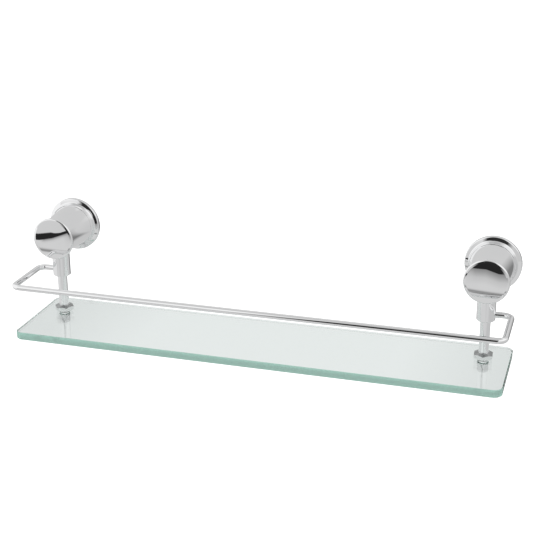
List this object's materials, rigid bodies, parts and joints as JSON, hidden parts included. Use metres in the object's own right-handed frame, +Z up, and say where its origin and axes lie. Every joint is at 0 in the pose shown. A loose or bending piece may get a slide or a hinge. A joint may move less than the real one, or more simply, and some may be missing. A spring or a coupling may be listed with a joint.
{
  "type": "glass shower shelf",
  "caption": "Clear glass shelf with rounded corners, hung by chrome rods and hexagon nuts from round wall posts, with a bent chrome gallery rail in front.",
  "frame": {"origin": "On the wall, midway between the two posts, at the height of their axes.", "axes": "+X along the wall to the right as seen from the front, +Y into the wall, +Z up."},
  "size_m": [0.5044, 0.107, 0.1324],
  "materials": {
    "glass": "clear toughened float glass, with a finely ground front edge that looks milky green",
    "chrome": "bright chrome plate on turned brass",
    "plate_steel": "bare turned steel, hidden behind the rosette",
    "screw_steel": "bare steel screws",
    "soft_plastic": "soft milky plastic"
  },
  "bodies": {
    "root": {"cap_nuts": "chrome", "collar_screws": "screw_steel", "gallery_rail": "chrome", "glass_shelf": "glass", "hex_nuts": "chrome", "hole_sleeves": "soft_plastic", "left_collar": "chrome", "left_front_cap": "chrome", "left_hanger_rod": "chrome", "left_neck": "chrome", "left_rosette": "chrome", "left_wall_plate": "plate_steel", "lower_washers": "soft_plastic", "plate_grub_screws": "screw_steel", "rail_grub_screws": "screw_steel", "right_collar": "chrome", "right_front_cap": "chrome", "right_hanger_rod": "chrome", "right_neck": "chrome", "right_rosette": "chrome", "right_wall_plate": "plate_steel", "upper_washers": "soft_plastic"}
  },
  "joints": []
}
